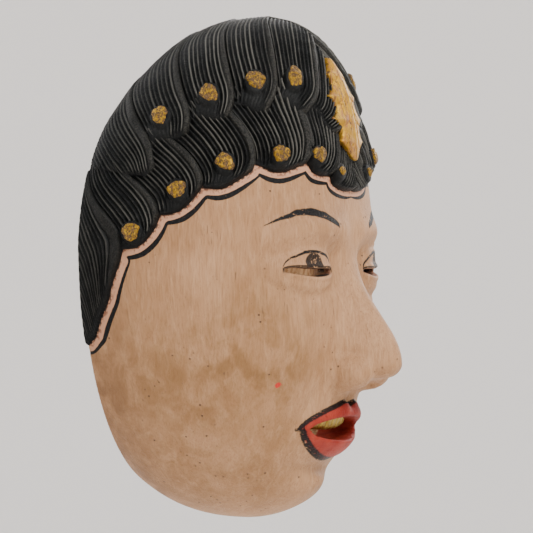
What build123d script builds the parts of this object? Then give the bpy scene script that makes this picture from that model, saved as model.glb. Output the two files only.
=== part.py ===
"""Hollow carved wooden dance mask with hair in relief, a ring hanger and a bite strap.

Frame: +Z up, the mask looks along -Y, the back rim lies in the plane Y = 0 and the
origin is the middle of that plane.  "Depth" below is the distance forward of the rim.
"""

from build123d import *
import os

os.makedirs("parts", exist_ok=True)

# ---- driving dimensions, millimetres ------------------------------------------------
curve_power = 2.4  # roundness of every outline along the depth
wide_level = 6.0  # height at which the mask is widest

# outer surface of the bare face: half width, crown and jaw along the depth
rim_half_width = 67.5
face_depth = 80.0
crown_height = 92.0
crown_depth = 42.0
crown_back_reach = 55.0
jaw_drop = 95.0
jaw_depth = 34.0
jaw_back_reach = 60.0

# hollow behind the face
hollow_half_width = 58.0
hollow_depth = 68.0
hollow_top = 70.0
hollow_top_depth = 34.0
hollow_top_reach = 49.0
hollow_drop = 82.0
hollow_drop_depth = 28.0
hollow_drop_reach = 53.0

# nose, eyes and mouth
nose_root_depth = 70.0
nose_tip_depth = 100.0
nose_root_level = -34.0
nose_tip_level = -37.0
eye_spread = 28.0
eye_level = -2.0
eye_slit_width = 25.0
eye_slit_height = 2.6
mouth_level = -61.0
mouth_width = 46.0
mouth_gap = 9.0
lip_height = 23.0
lip_relief = 3.5
teeth_height = 5.2
teeth_back = 8.0

# carved hair, curl ends and forehead ornament
hair_relief = 3.0
curl_diameter = 7.5
curl_relief = 1.2
ornament_relief = 2.2
ornament_top = 78.0
ornament_foot = 40.0
ornament_half_width = 10.0

# ring hanger in a notch of the rim
notch_width = 18.0
notch_depth = 3.6
notch_foot = 50.0
notch_top = 80.0
pivot_level = 71.5
pivot_depth = 1.8
ring_wire = 1.4
ring_width = 12.0
ring_length = 12.0
barrel_width = 7.0
barrel_radius = 1.5
pivot_clearance = 0.08
strap_plate = 0.8
plate_width = 9.0
plate_foot = 63.0
screw_level = 66.8
screw_head = 4.4
screw_head_height = 0.8
screw_shank = 2.4
screw_length = 10.0

# leather bite strap
bite_level = -58.0
bite_width = 12.0
bite_thickness = 2.2
bite_half_span = 38.0
bite_bow = 20.0
bite_root_depth = 36.0
bite_tail = 8.0
tack_depth = 38.5
tack_shank = 1.6
tack_length = 7.0
tack_head = 5.0
tack_dome = 1.3

far = 150.0  # longer than any side of the mask


def swell(depth, peak_depth, back_reach, front_reach):
    """How far an outline is open at a depth: 1 at its peak, 0 at either end."""
    away = depth - peak_depth
    reach = front_reach if away > 0 else back_reach
    return (1 - (abs(away) / reach) ** curve_power) ** (1 / curve_power)


def outer_outline(depth, grow):
    """Half width, top and bottom of the face at a depth, let out by grow."""
    stretch = face_depth / (face_depth + grow)
    at = depth * stretch
    side = rim_half_width * swell(at, 0, 1, face_depth) + grow
    top = crown_height * swell(at, crown_depth, crown_back_reach, face_depth - crown_depth) + grow
    bottom = jaw_drop * swell(at, jaw_depth, jaw_back_reach, face_depth - jaw_depth) + grow
    return side, top, -bottom


def hollow_outline(depth):
    """Half width, top and bottom of the hollow at a depth."""
    side = hollow_half_width * swell(depth, 0, 1, hollow_depth)
    top = hollow_top * swell(depth, hollow_top_depth, hollow_top_reach, hollow_depth - hollow_top_depth)
    drop = hollow_drop * swell(
        depth, hollow_drop_depth, hollow_drop_reach, hollow_depth - hollow_drop_depth
    )
    return side, top, -drop


def egg_loft(outlines):
    """Solid through egg-shaped sections, each given as depth, half width, top and bottom."""
    with BuildPart() as egg:
        for depth, side, top, bottom in outlines:
            with BuildSketch(Plane.XZ.offset(depth)):
                with BuildLine():
                    middle = (0, wide_level)
                    EllipticalCenterArc(middle, side, top - wide_level, 0, arc_size=180)
                    EllipticalCenterArc(middle, side, wide_level - bottom, 180, arc_size=180)
                make_face()
        loft()
    return egg.part


def outer_block(grow):
    """The mask as a solid dome, its surface let out by grow."""
    steps = (0, 12, 26, 42, 55, 66, 74, 78)
    stretch = (face_depth + grow) / face_depth
    return egg_loft([(d * stretch, *outer_outline(d * stretch, grow)) for d in steps])


def side_at(depth, height):
    """Half width of the hair surface at a depth and a height."""
    side, top, bottom = outer_outline(depth, hair_relief)
    reach = top - wide_level if height > wide_level else wide_level - bottom
    return side * (1 - ((height - wide_level) / reach) ** 2) ** 0.5


face_block = outer_block(0)
hair_block = outer_block(hair_relief)
hollow_steps = (0, 10, 22, 36, 48, 57, 63.5, 66.5)
hollow_block = egg_loft([(d, *hollow_outline(d)) for d in hollow_steps])

with BuildPart() as notch:
    with BuildSketch(Plane.XZ):
        with Locations((0, (notch_foot + notch_top) / 2)):
            Rectangle(notch_width, notch_top - notch_foot)
    extrude(amount=notch_depth)

with BuildPart() as mouth_cut:
    with BuildSketch(Plane.XZ):
        with Locations((0, mouth_level)):
            Ellipse(mouth_width / 2 - 3, mouth_gap / 2)
    extrude(amount=far)

with BuildPart() as eye_cut:
    with BuildSketch(Plane.XZ):
        with Locations((-eye_spread, eye_level), (eye_spread, eye_level)):
            SlotOverall(eye_slit_width, eye_slit_height)
    extrude(amount=far)

# ---- face shell: hollow dome with nose and lips, cut through at eyes and mouth -------
with BuildPart() as lips:
    with BuildSketch(Plane.XZ.offset(nose_root_depth - 20)):
        with Locations((0, mouth_level)):
            Ellipse(mouth_width / 2, lip_height / 2)
    extrude(amount=far)
    add(outer_block(lip_relief), mode=Mode.INTERSECT)

with BuildPart() as nose:
    for depth, level, half_width, rise, drop in (
        (nose_root_depth, nose_root_level, 15, 46, 12),
        (nose_tip_depth, nose_tip_level, 5, 6, 4),
    ):
        with BuildSketch(Plane.XZ.offset(depth)):
            with BuildLine():
                EllipticalCenterArc((0, level), half_width, rise, 0, arc_size=180)
                EllipticalCenterArc((0, level), half_width, drop, 180, arc_size=180)
            make_face()
    loft()
    tip = nose.faces().sort_by(Axis.Y)[0]
    fillet(tip.edges(), 2.5)

with BuildPart() as face_shell:
    add(face_block)
    add(lips.part)
    add(nose.part)
    add(hollow_block, mode=Mode.SUBTRACT)
    add(mouth_cut.part, mode=Mode.SUBTRACT)
    add(eye_cut.part, mode=Mode.SUBTRACT)
    add(notch.part, mode=Mode.SUBTRACT)

# ---- hair: relief over the crown, its lower edge scalloped by the curl ends ----------
# notches between the curls and the lowest point of each curl, as (depth, height)
hairline_notches = ((14, 3), (28, 16), (44, 28), (61, 37), (74.5, 37), (80, 34))
curl_bottoms = ((21, 4), (38, 20), (54, 30), (69, 34), (78, 33))
sideburn = ((0, -36), (5, -30), (10, -14))
forelock = ((84, 27), (95, 27))

with BuildPart() as hair_region:
    with BuildSketch(Plane.YZ.offset(-far / 2)):
        with BuildLine():
            Polyline([(-d, h) for d, h in (*sideburn, hairline_notches[0])])
            for start, low, end in zip(hairline_notches, curl_bottoms, hairline_notches[1:]):
                ThreePointArc((-start[0], start[1]), (-low[0], low[1]), (-end[0], end[1]))
            Polyline([(-d, h) for d, h in (hairline_notches[-1], *forelock)])
            corners = ((forelock[-1][0], far), (-1, far), (-1, sideburn[0][1]), sideburn[0])
            Polyline([(-d, h) for d, h in (forelock[-1], *corners)])
        make_face()
    extrude(amount=far)

with BuildPart() as hair_crown:
    add(hair_block)
    add(hair_region.part, mode=Mode.INTERSECT)
    add(face_block, mode=Mode.SUBTRACT)
    add(notch.part, mode=Mode.SUBTRACT)

# ---- gilded curl ends: low round pads on the hair, the same on both sides ------------
# (depth, height) of each pad, lower row then upper row, from the rim to the middle
curl_ends = (
    (19.4, 13.4),
    (36, 29.6),
    (52, 40.3),
    (69, 43.4),
    (77.6, 42.6),
    (81, 36),
    (24.7, 57.6),
    (41.5, 66.4),
    (56.6, 71.8),
    (67, 73.3),
)
heart = Vector(0, -30, 20)  # the pads point away from here

with BuildPart() as curl_bosses:
    for depth, height in curl_ends:
        for hand in (-1, 1):
            outward = Vector(hand * side_at(depth, height), -depth, height) - heart
            with BuildSketch(Plane(origin=heart, z_dir=outward)):
                Circle(curl_diameter / 2)
            extrude(amount=far)
    add(outer_block(hair_relief + curl_relief), mode=Mode.INTERSECT)
    add(hair_block, mode=Mode.SUBTRACT)

# ---- forehead ornament: pointed leaf over the middle of the hair ----------------------
with BuildPart() as forehead_ornament:
    with BuildSketch(Plane.XZ.offset(face_depth / 2)):
        with BuildLine():
            shoulder = (ornament_top * 0.6 + ornament_foot * 0.4)
            for hand in (-1, 1):
                side_point = (hand * ornament_half_width, shoulder)
                Spline(
                    (0, ornament_foot),
                    side_point,
                    (0, ornament_top),
                    tangents=((hand, 1.2), (-hand, 1.2)),
                )
        make_face()
    extrude(amount=far)
    add(outer_block(hair_relief + ornament_relief), mode=Mode.INTERSECT)
    add(hair_block, mode=Mode.SUBTRACT)

# ---- upper teeth: curved row in the top of the mouth opening ---------------------------
with BuildPart() as upper_teeth:
    add(outer_block(-1.0))
    add(outer_block(-teeth_back), mode=Mode.SUBTRACT)
    add(mouth_cut.part, mode=Mode.INTERSECT)
    mouth_top = mouth_level + mouth_gap / 2
    split(bisect_by=Plane.XY.offset(mouth_top - teeth_height), keep=Keep.TOP)

# ---- ring hanger: folded strap, its screw and the swinging ring ------------------------
plate_back = -notch_depth
plate_front = plate_back + strap_plate

with BuildPart() as hanger_plate:
    with BuildSketch(Plane.XZ.offset(-plate_back)):
        with Locations((0, (plate_foot + pivot_level) / 2)):
            RectangleRounded(plate_width, pivot_level - plate_foot, 1.5)
    extrude(amount=-strap_plate)
    with BuildSketch(Plane.YZ.offset(-barrel_width / 2)):
        with Locations((-pivot_depth, pivot_level)):
            Circle(barrel_radius)
    extrude(amount=barrel_width)
    with BuildSketch(Plane.YZ.offset(-barrel_width)):
        with Locations((-pivot_depth, pivot_level)):
            Circle(ring_wire / 2 + pivot_clearance)
    extrude(amount=2 * barrel_width, mode=Mode.SUBTRACT)
    with BuildSketch(Plane.XZ.offset(-plate_back)):
        with Locations((0, screw_level)):
            Circle(screw_shank / 2 + 0.2)
    extrude(amount=-strap_plate, mode=Mode.SUBTRACT)

with BuildPart() as hanger_screw:
    with BuildSketch(Plane.XZ.offset(-plate_front)):
        with Locations((0, screw_level)):
            Circle(screw_head / 2)
    extrude(amount=-screw_head_height)
    fillet(hanger_screw.edges().sort_by(Axis.Y)[-1], 0.35)
    with BuildSketch(Plane.XZ.offset(-plate_front - screw_head_height)):
        with Locations((0, screw_level)):
            Rectangle(screw_head, 0.6)
    extrude(amount=0.4, mode=Mode.SUBTRACT)
    with BuildSketch(Plane.XZ.offset(-plate_front)):
        with Locations((0, screw_level)):
            Circle(screw_shank / 2)
    extrude(amount=screw_length)

with BuildPart() as hanger_ring:
    side_x = (ring_width - ring_wire) / 2
    round_level = pivot_level - (ring_length - ring_wire / 2 - side_x)
    with BuildSketch(Plane(origin=(0, -pivot_depth, pivot_level), z_dir=(1, 0, 0))):
        Circle(ring_wire / 2)
    extrude(amount=side_x, both=True)
    for hand in (-1, 1):
        with BuildSketch(Plane(origin=(hand * side_x, -pivot_depth, round_level), z_dir=(0, 0, 1))):
            Circle(ring_wire / 2)
        extrude(amount=pivot_level - round_level)
        with Locations((hand * side_x, -pivot_depth, pivot_level)):
            Sphere(ring_wire / 2)
    with BuildSketch(Plane(origin=(side_x, -pivot_depth, round_level), z_dir=(0, 0, -1))):
        Circle(ring_wire / 2)
    revolve(axis=Axis((0, -pivot_depth, round_level), (0, 1, 0)), revolution_arc=180)

# ---- bite strap: leather band bowed across the hollow, tacked to both cheeks -----------
inner_face = bite_half_span - bite_thickness

with BuildPart() as strap_tacks:
    for hand in (-1, 1):
        seat = (hand * inner_face, -tack_depth, bite_level)
        with BuildSketch(Plane(origin=seat, z_dir=(hand, 0, 0))):
            Circle(tack_shank / 2)
        extrude(amount=tack_length)
        with BuildSketch(Plane(origin=seat, z_dir=(-hand, 0, 0))):
            Circle(tack_head / 2)
        extrude(amount=tack_dome, taper=35)

with BuildPart() as bite_strap:
    with BuildSketch(Plane.XY.offset(bite_level - bite_width / 2)):
        with BuildLine():
            tail_end = -bite_root_depth - bite_tail
            for inset in (0, bite_thickness):
                span = bite_half_span - inset
                bow = bite_bow - inset
                EllipticalCenterArc((0, -bite_root_depth), span, bow, 0, arc_size=180)
                Line((-span, -bite_root_depth), (-span, tail_end))
                Line((span, -bite_root_depth), (span, tail_end))
            for hand in (-1, 1):
                Line((hand * bite_half_span, tail_end), (hand * inner_face, tail_end))
        make_face()
    extrude(amount=bite_width)
    add(face_shell.part, mode=Mode.SUBTRACT)
    add(strap_tacks.part, mode=Mode.SUBTRACT)

# ---- finished pieces --------------------------------------------------------------------
pieces = {
    "face_shell": face_shell,
    "hair_crown": hair_crown,
    "curl_bosses": curl_bosses,
    "forehead_ornament": forehead_ornament,
    "upper_teeth": upper_teeth,
    "hanger_plate": hanger_plate,
    "hanger_screw": hanger_screw,
    "hanger_ring": hanger_ring,
    "bite_strap": bite_strap,
    "strap_tacks": strap_tacks,
}
for name, piece in pieces.items():
    piece.part.label = name
    export_step(piece.part, f"parts/{name}.step")
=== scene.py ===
"""Carved, painted and gilt wooden dance mask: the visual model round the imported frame.

Lengths in the shape code are millimetres.  "Depth" is the distance forward of the rim
plane, so depth = -Y.  The carved forms are built for a positive X and mirrored.
"""
import math

import bpy
import numpy as np
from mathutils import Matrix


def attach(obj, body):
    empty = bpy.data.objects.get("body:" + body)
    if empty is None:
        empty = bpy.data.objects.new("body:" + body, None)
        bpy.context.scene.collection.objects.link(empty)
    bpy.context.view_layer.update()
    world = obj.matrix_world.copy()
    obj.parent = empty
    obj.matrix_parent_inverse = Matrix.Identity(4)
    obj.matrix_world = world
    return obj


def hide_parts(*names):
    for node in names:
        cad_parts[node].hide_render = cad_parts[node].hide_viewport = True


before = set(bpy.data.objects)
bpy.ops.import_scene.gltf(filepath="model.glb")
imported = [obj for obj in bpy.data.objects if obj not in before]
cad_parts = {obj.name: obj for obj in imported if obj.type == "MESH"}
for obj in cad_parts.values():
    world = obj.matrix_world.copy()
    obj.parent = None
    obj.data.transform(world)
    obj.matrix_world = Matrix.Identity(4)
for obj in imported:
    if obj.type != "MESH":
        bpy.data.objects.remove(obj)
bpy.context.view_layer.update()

import openvdb
from mathutils import Vector

MM = 0.001

# ---- camera and stage ----
VIEW_AZIMUTH = math.radians(-65.0)
VIEW_DISTANCE = 1.6
FRAME_SIDE = 0.2047  # what the frame takes in at the mask, metres

away = Vector((math.sin(VIEW_AZIMUTH), -math.cos(VIEW_AZIMUTH), 0.0))
aim = Vector((0.0169, -0.0363, -0.0002))
camera_data = bpy.data.cameras.new("camera")
camera_data.sensor_width = 36.0
camera_data.lens = 36.0 * VIEW_DISTANCE / FRAME_SIDE
camera_data.clip_start = 0.05
camera_data.clip_end = 30.0
camera = bpy.data.objects.new("camera", camera_data)
bpy.context.collection.objects.link(camera)
camera.location = aim + away * VIEW_DISTANCE
camera.rotation_mode = "QUATERNION"
camera.rotation_quaternion = (-away).to_track_quat("-Z", "Y")
bpy.context.scene.camera = camera


# ---- helpers ----
def smooth(low, high, value):
    """0 below low, 1 above high, eased between."""
    s = np.clip((value - low) / (high - low), 0.0, 1.0)
    return s * s * (3 - 2 * s)


def bell(value, spread):
    return np.exp(-((value / spread) ** 2))


def noise(places, size, seed):
    """Smooth noise in -0.5..0.5 at places (..., 3); size is the length of one cell."""
    table = np.random.default_rng(seed).random((32, 32, 32))
    q = places / size + 64.0
    cell = np.floor(q).astype(int)
    f = q - cell
    f = f * f * (3 - 2 * f)
    total = 0.0
    for corner in np.ndindex(2, 2, 2):
        index = tuple((cell[..., n] + corner[n]) % 32 for n in range(3))
        x_part, y_part, z_part = (f[..., n] if corner[n] else 1 - f[..., n] for n in range(3))
        total = total + table[index] * x_part * y_part * z_part
    return total - 0.5


def melt(a, b, k):
    """Union of two distance fields with a fillet of about k."""
    h = np.clip(0.5 + 0.5 * (b - a) / k, 0, 1)
    return b * (1 - h) + a * h - k * h * (1 - h)


def carve(a, b, k):
    """Intersection of two distance fields with a rounded edge of about k."""
    return -melt(-a, -b, k)


def make_mesh(name, verts, faces, attributes=None):
    """Object from points in millimetres (x, depth, z) and a list of quads or triangles."""
    points = np.asarray(verts, float)
    world = np.stack([points[:, 0], -points[:, 1], points[:, 2]], 1) * MM
    mesh = bpy.data.meshes.new(name)
    sizes = np.array([len(f) for f in faces], dtype=np.int32)
    flat = np.concatenate([np.asarray(f, dtype=np.int32) for f in faces])
    mesh.vertices.add(len(world))
    mesh.vertices.foreach_set("co", world.astype(np.float32).ravel())
    mesh.loops.add(len(flat))
    mesh.loops.foreach_set("vertex_index", flat)
    mesh.polygons.add(len(sizes))
    starts = np.concatenate([[0], np.cumsum(sizes)[:-1]]).astype(np.int32)
    mesh.polygons.foreach_set("loop_start", starts)
    for key, values in (attributes or {}).items():
        layer = mesh.attributes.new(key, "FLOAT", "POINT")
        layer.data.foreach_set("value", np.asarray(values, np.float32))
    mesh.update(calc_edges=True)
    mesh.validate()
    mesh.polygons.foreach_set("use_smooth", np.ones(len(mesh.polygons), bool))
    obj = bpy.data.objects.new(name, mesh)
    bpy.context.collection.objects.link(obj)
    return obj


def grid_solid(front, back):
    """Points and outward faces of a closed slab between two grids of (I, J, 3) points."""
    rows, cols = front.shape[:2]
    index = np.arange(rows * cols).reshape(rows, cols)
    a, b = index[:-1, :-1], index[1:, :-1]
    c, d = index[1:, 1:], index[:-1, 1:]
    face = np.stack([a, b, c, d], -1).reshape(-1, 4)
    under = rows * cols
    rim = np.concatenate([index[:, 0], index[-1, 1:], index[-2::-1, -1], index[0, -2:0:-1]])
    after = np.roll(rim, -1)
    wall = np.stack([rim, rim + under, after + under, after], -1)
    points = np.concatenate([front.reshape(-1, 3), back.reshape(-1, 3)])
    return points, [*face, *(face[:, ::-1] + under), *wall]


def ring_quads(rings, turns, first=0):
    """Quads between each closed ring of points and the next, counted from point first."""
    quads = []
    for ring in range(rings - 1):
        for n in range(turns):
            a = first + ring * turns + n
            b = first + ring * turns + (n + 1) % turns
            quads.append((a, a + turns, b + turns, b))
    return quads


def fan(first, turns, centre):
    """Triangles from the closed ring that starts at point first to a centre point."""
    return [(first + n, first + (n + 1) % turns, centre) for n in range(turns)]


def crossing(passed, low, high, shape, steps):
    """Value where passed() turns true between low and high, found by halving."""
    low = np.full(shape, low)
    high = np.full(shape, high)
    for _ in range(steps):
        middle = (low + high) / 2
        beyond_it = passed(middle)
        high = np.where(beyond_it, middle, high)
        low = np.where(beyond_it, low, middle)
    return (low + high) / 2


# ---- the mask's outer and inner forms ----
# a form is its half width, its reach forward, and for the top and for the chin:
# the height, the depth where that height is greatest, and the fall-off behind that depth
POWER = 2.4
WIDE = 6.0
FACE = (67.5, 80.0, (92.0, 42.0, 55.0), (95.0, 34.0, 60.0))
HOLLOW = (58.0, 68.0, (70.0, 34.0, 49.0), (82.0, 28.0, 53.0))


def swell(depth, peak, back, front):
    off = depth - peak
    q = np.clip(np.abs(off) / np.where(off > 0, front, back), 0, 1)
    return (1 - q**POWER) ** (1 / POWER)


def beyond(form, x, depth, z, grow):
    """Positive outside the form let out by grow, negative inside."""
    side, reach, top, drop = form
    # a point behind the rim plane is judged as if it lay on it
    at = np.maximum(depth, 0) * reach / (reach + grow)
    half = side * swell(at, 0, 1, reach) + grow
    high = top[0] * swell(at, top[1], top[2], reach - top[1]) + grow - WIDE
    low = drop[0] * swell(at, drop[1], drop[2], reach - drop[1]) + grow + WIDE
    tall = np.where(z > WIDE, high, low)
    ratio = (x / np.maximum(half, 1e-3)) ** 2 + ((z - WIDE) / np.maximum(tall, 1e-3)) ** 2 - 1
    return np.where(at >= reach, 9.0, ratio)


def level(form, x, depth, z, steps=24):
    """The grow whose surface passes through a point: close to its distance."""
    return crossing(lambda grow: beyond(form, x, depth, z, grow) <= 0, -38.0, 60.0, np.shape(x), steps)


# ---- chart of the hair: directions from a pivot, laid flat about one side ----
PIVOT = np.array([0.0, 30.0, 5.0])
MIDDLE = np.array([0.906, 0.423, 0.0])
ALONG = np.array([-0.423, 0.906, 0.0])
SPAN = 75.0
FAN = np.array([29.0, -19.0])  # the locks fan out from here on the chart


def chart_to_direction(u, v):
    reach = np.hypot(u, v) + 1e-9
    turn = reach / SPAN
    side = np.sin(turn) / reach
    return (
        np.cos(turn)[..., None] * MIDDLE
        + (side * u)[..., None] * ALONG
        + (side * v)[..., None] * np.array([0, 0, 1.0])
    )


def point_to_chart(points):
    away_from = points - PIVOT
    away_from = away_from / np.linalg.norm(away_from, axis=-1, keepdims=True)
    a, b = away_from @ ALONG, away_from[..., 2]
    across = np.hypot(a, b) + 1e-9
    turn = np.arctan2(across, away_from @ MIDDLE)
    return SPAN * turn * a / across, SPAN * turn * b / across


def reach_along(ray, grow):
    """Distance from the pivot to the outer form, let out by grow, along a ray."""
    def outside(far):
        at = PIVOT + ray * far[..., None]
        return beyond(FACE, at[..., 0], at[..., 1], at[..., 2], grow) > 0

    return crossing(outside, 5.0, 160.0, ray.shape[:-1], 26)


def on_surface(u, v, height):
    """Point at a height above the bare face, in the direction of a chart position."""
    ray = chart_to_direction(np.asarray(u, float), np.asarray(v, float))
    bare, grown = reach_along(ray, 0.0), reach_along(ray, 3.0)
    far = bare + (grown - bare) * height / 3.0
    return PIVOT + ray * far[..., None]


def front_depth(x, z, grow):
    """Depth of the outer form, let out by grow, straight ahead of (x, z)."""
    return crossing(lambda depth: beyond(FACE, x, depth, z, grow) > 0, 36.0, 90.0, np.shape(x), 24)


# ---- carved locks ----
# angle about the fan centre in degrees, left of vertical positive; radius in mm
LOWER_SPOTS = ((68.7, 75.9), (48.8, 68.7), (29.2, 65.1), (6.5, 62.7), (-11.7, 67.9), (-26.1, 70.6))
UPPER_SPOTS = ((37.8, 95.8), (24.6, 92.0), (12.2, 90.8), (1.4, 93.3))
# radius of the row of curl ends against that angle
LOWER_ROW = (
    (-50, -26, -12, 6.5, 29, 49, 69, 80, 92, 106),
    (73, 70.6, 67.9, 62.7, 65.1, 68.7, 75.9, 86, 92, 98),
)
UPPER_ROW = ((-50, 1.4, 12.2, 24.6, 37.8, 52, 70), (96, 93.3, 90.8, 92.0, 95.8, 94, 93))
# sideways bow of a strand against its distance above the row, both in mm
LOWER_BOW = (
    (-16, -12, -9, -6, -3, 0, 6, 13, 20, 28, 40),
    (15, 10.6, 6.6, 2.8, 0.8, 0, 0.9, 4.2, 9.2, 14.2, 19),
)
UPPER_BOW = ((-16, -13, -10, -6, -3, 0, 11, 28, 50, 80), (11, 7.4, 4.4, 1.5, 0.4, 0, 5, 13.4, 19, 21))
# angles of the edges between one lock and the next
LOWER_EDGES = (98.0, 72.5, 57.5, 38.2, 16.4, -8.4, -24.0, -40.0, -56.0)
UPPER_EDGES = (60.0, 43.0, 30.0, 17.6, 5.6, -7.0, -20.0, -33.0, -46.0)
BAND = 0.865  # where the smooth band begins across a lock
PITCH = 1.78  # width of one strand, mm
# lean of the strands back towards upright, degrees per mm, against the angle
LOWER_LEAN = ((-60, 0, 10, 29, 49, 69, 90, 104), (0, 0, 0.06, 0.2, 0.34, 0.58, 0.9, 1.0))
UPPER_LEAN = ((-60, -20, 0, 12, 25, 37, 50, 69, 104), (0, 0.05, 0.15, 0.27, 0.37, 0.43, 0.40, 0.55, 0.7))


def eased(table, window):
    """The broken line of a table with its corners rounded off."""
    place, value = table
    step = window / 8.0
    dense = np.arange(place[0] - 3 * window, place[-1] + 3 * window, step)
    line = np.interp(dense, place, value)
    first = (value[1] - value[0]) / (place[1] - place[0])
    last = (value[-1] - value[-2]) / (place[-1] - place[-2])
    line = np.where(dense < place[0], value[0] + first * (dense - place[0]), line)
    line = np.where(dense > place[-1], value[-1] + last * (dense - place[-1]), line)
    weight = np.hanning(19)[1:-1]
    return dense[8:-8], np.convolve(line, weight / weight.sum(), "valid")


LOWER_ROW, UPPER_ROW = eased(LOWER_ROW, 9.0), eased(UPPER_ROW, 9.0)
LOWER_BOW, UPPER_BOW = eased(LOWER_BOW, 5.0), eased(UPPER_BOW, 5.0)
LOWER_LEAN, UPPER_LEAN = eased(LOWER_LEAN, 12.0), eased(UPPER_LEAN, 12.0)


def spot_chart(spot):
    turn, radius = math.radians(spot[0]), spot[1]
    return FAN[0] - radius * math.sin(turn), FAN[1] + radius * math.cos(turn)


def lock_chart(sigma, p, row, bow):
    """Chart position of a strand sigma at p above the row of curl ends, and its angle."""
    radius = np.interp(sigma, *row) + p
    if row is LOWER_ROW:
        lean = np.interp(sigma, *LOWER_LEAN) * p
    else:
        lean = np.interp(sigma, *UPPER_LEAN) * ((p + np.sqrt(p * p + 16.0)) / 2 - 2.0)
    turn = sigma + np.degrees(np.interp(p, *bow) / radius) - lean
    radius = np.interp(turn, *row) + p
    angle = np.radians(turn)
    return FAN[0] - radius * np.sin(angle), FAN[1] + radius * np.cos(angle), turn, radius


def lock_columns(edges, row, step):
    """Strand value, place across the lock and lock number of every column."""
    sigma, across, number = [], [], []
    for k, (left, right) in enumerate(zip(edges[:-1], edges[1:])):
        middle = np.interp((left + right) / 2, *row)
        width = math.radians(left - right) * middle
        count = max(8, int(width / step))
        t = np.linspace(0, 1, count)
        inset = 0.10 / width
        sigma.append(left + (right - left) * (inset + t * (1 - inset)))
        across.append(t)
        number.append(np.full(count, k))
    return np.concatenate(sigma), np.concatenate(across), np.concatenate(number)


def lower_foot(sigma, t, number):
    """Lowest p of each column of the lower locks: their scalloped edge over the face."""
    drop = np.array([0, 0, 0, 1.4, -0.9, -0.9, 0, 0])[number]
    foot = -2.9 - drop - 4.1 * np.sin(np.pi * t**1.2) ** 0.8
    foot = foot + 8.5 * smooth(-27, -42, sigma)
    trial = np.linspace(-15, 4, 96)
    side = number == 0
    s = sigma[side][:, None]
    turn, radius = lock_chart(s, trial[None], LOWER_ROW, LOWER_BOW)[2:]
    gap = radius - np.interp(turn, (70, 78, 91.5, 101, 106), (74, 78.3, 81.7, 88.0, 97.5))
    foot[side] = trial[np.argmax(gap > 0, axis=1)]
    return foot


def upper_foot(t, number):
    """Lowest p of each column of the upper locks, whose ends lie over the lower ones."""
    foot = -5.8 - 4.8 * smooth(0.0, 0.75, t)
    first = np.interp(t, (0, 0.12, 0.35, 0.7, 1), (9.5, 5, -4.5, -11, -12.5))
    return np.where(number == 0, first, foot)


def notch_limit(x, z):
    """Least depth of the hair, which stays clear of the notch for the hanger plate."""
    return np.where((np.abs(x) < 9.0) & (z > 50.0), 3.6, 0.0)


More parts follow.
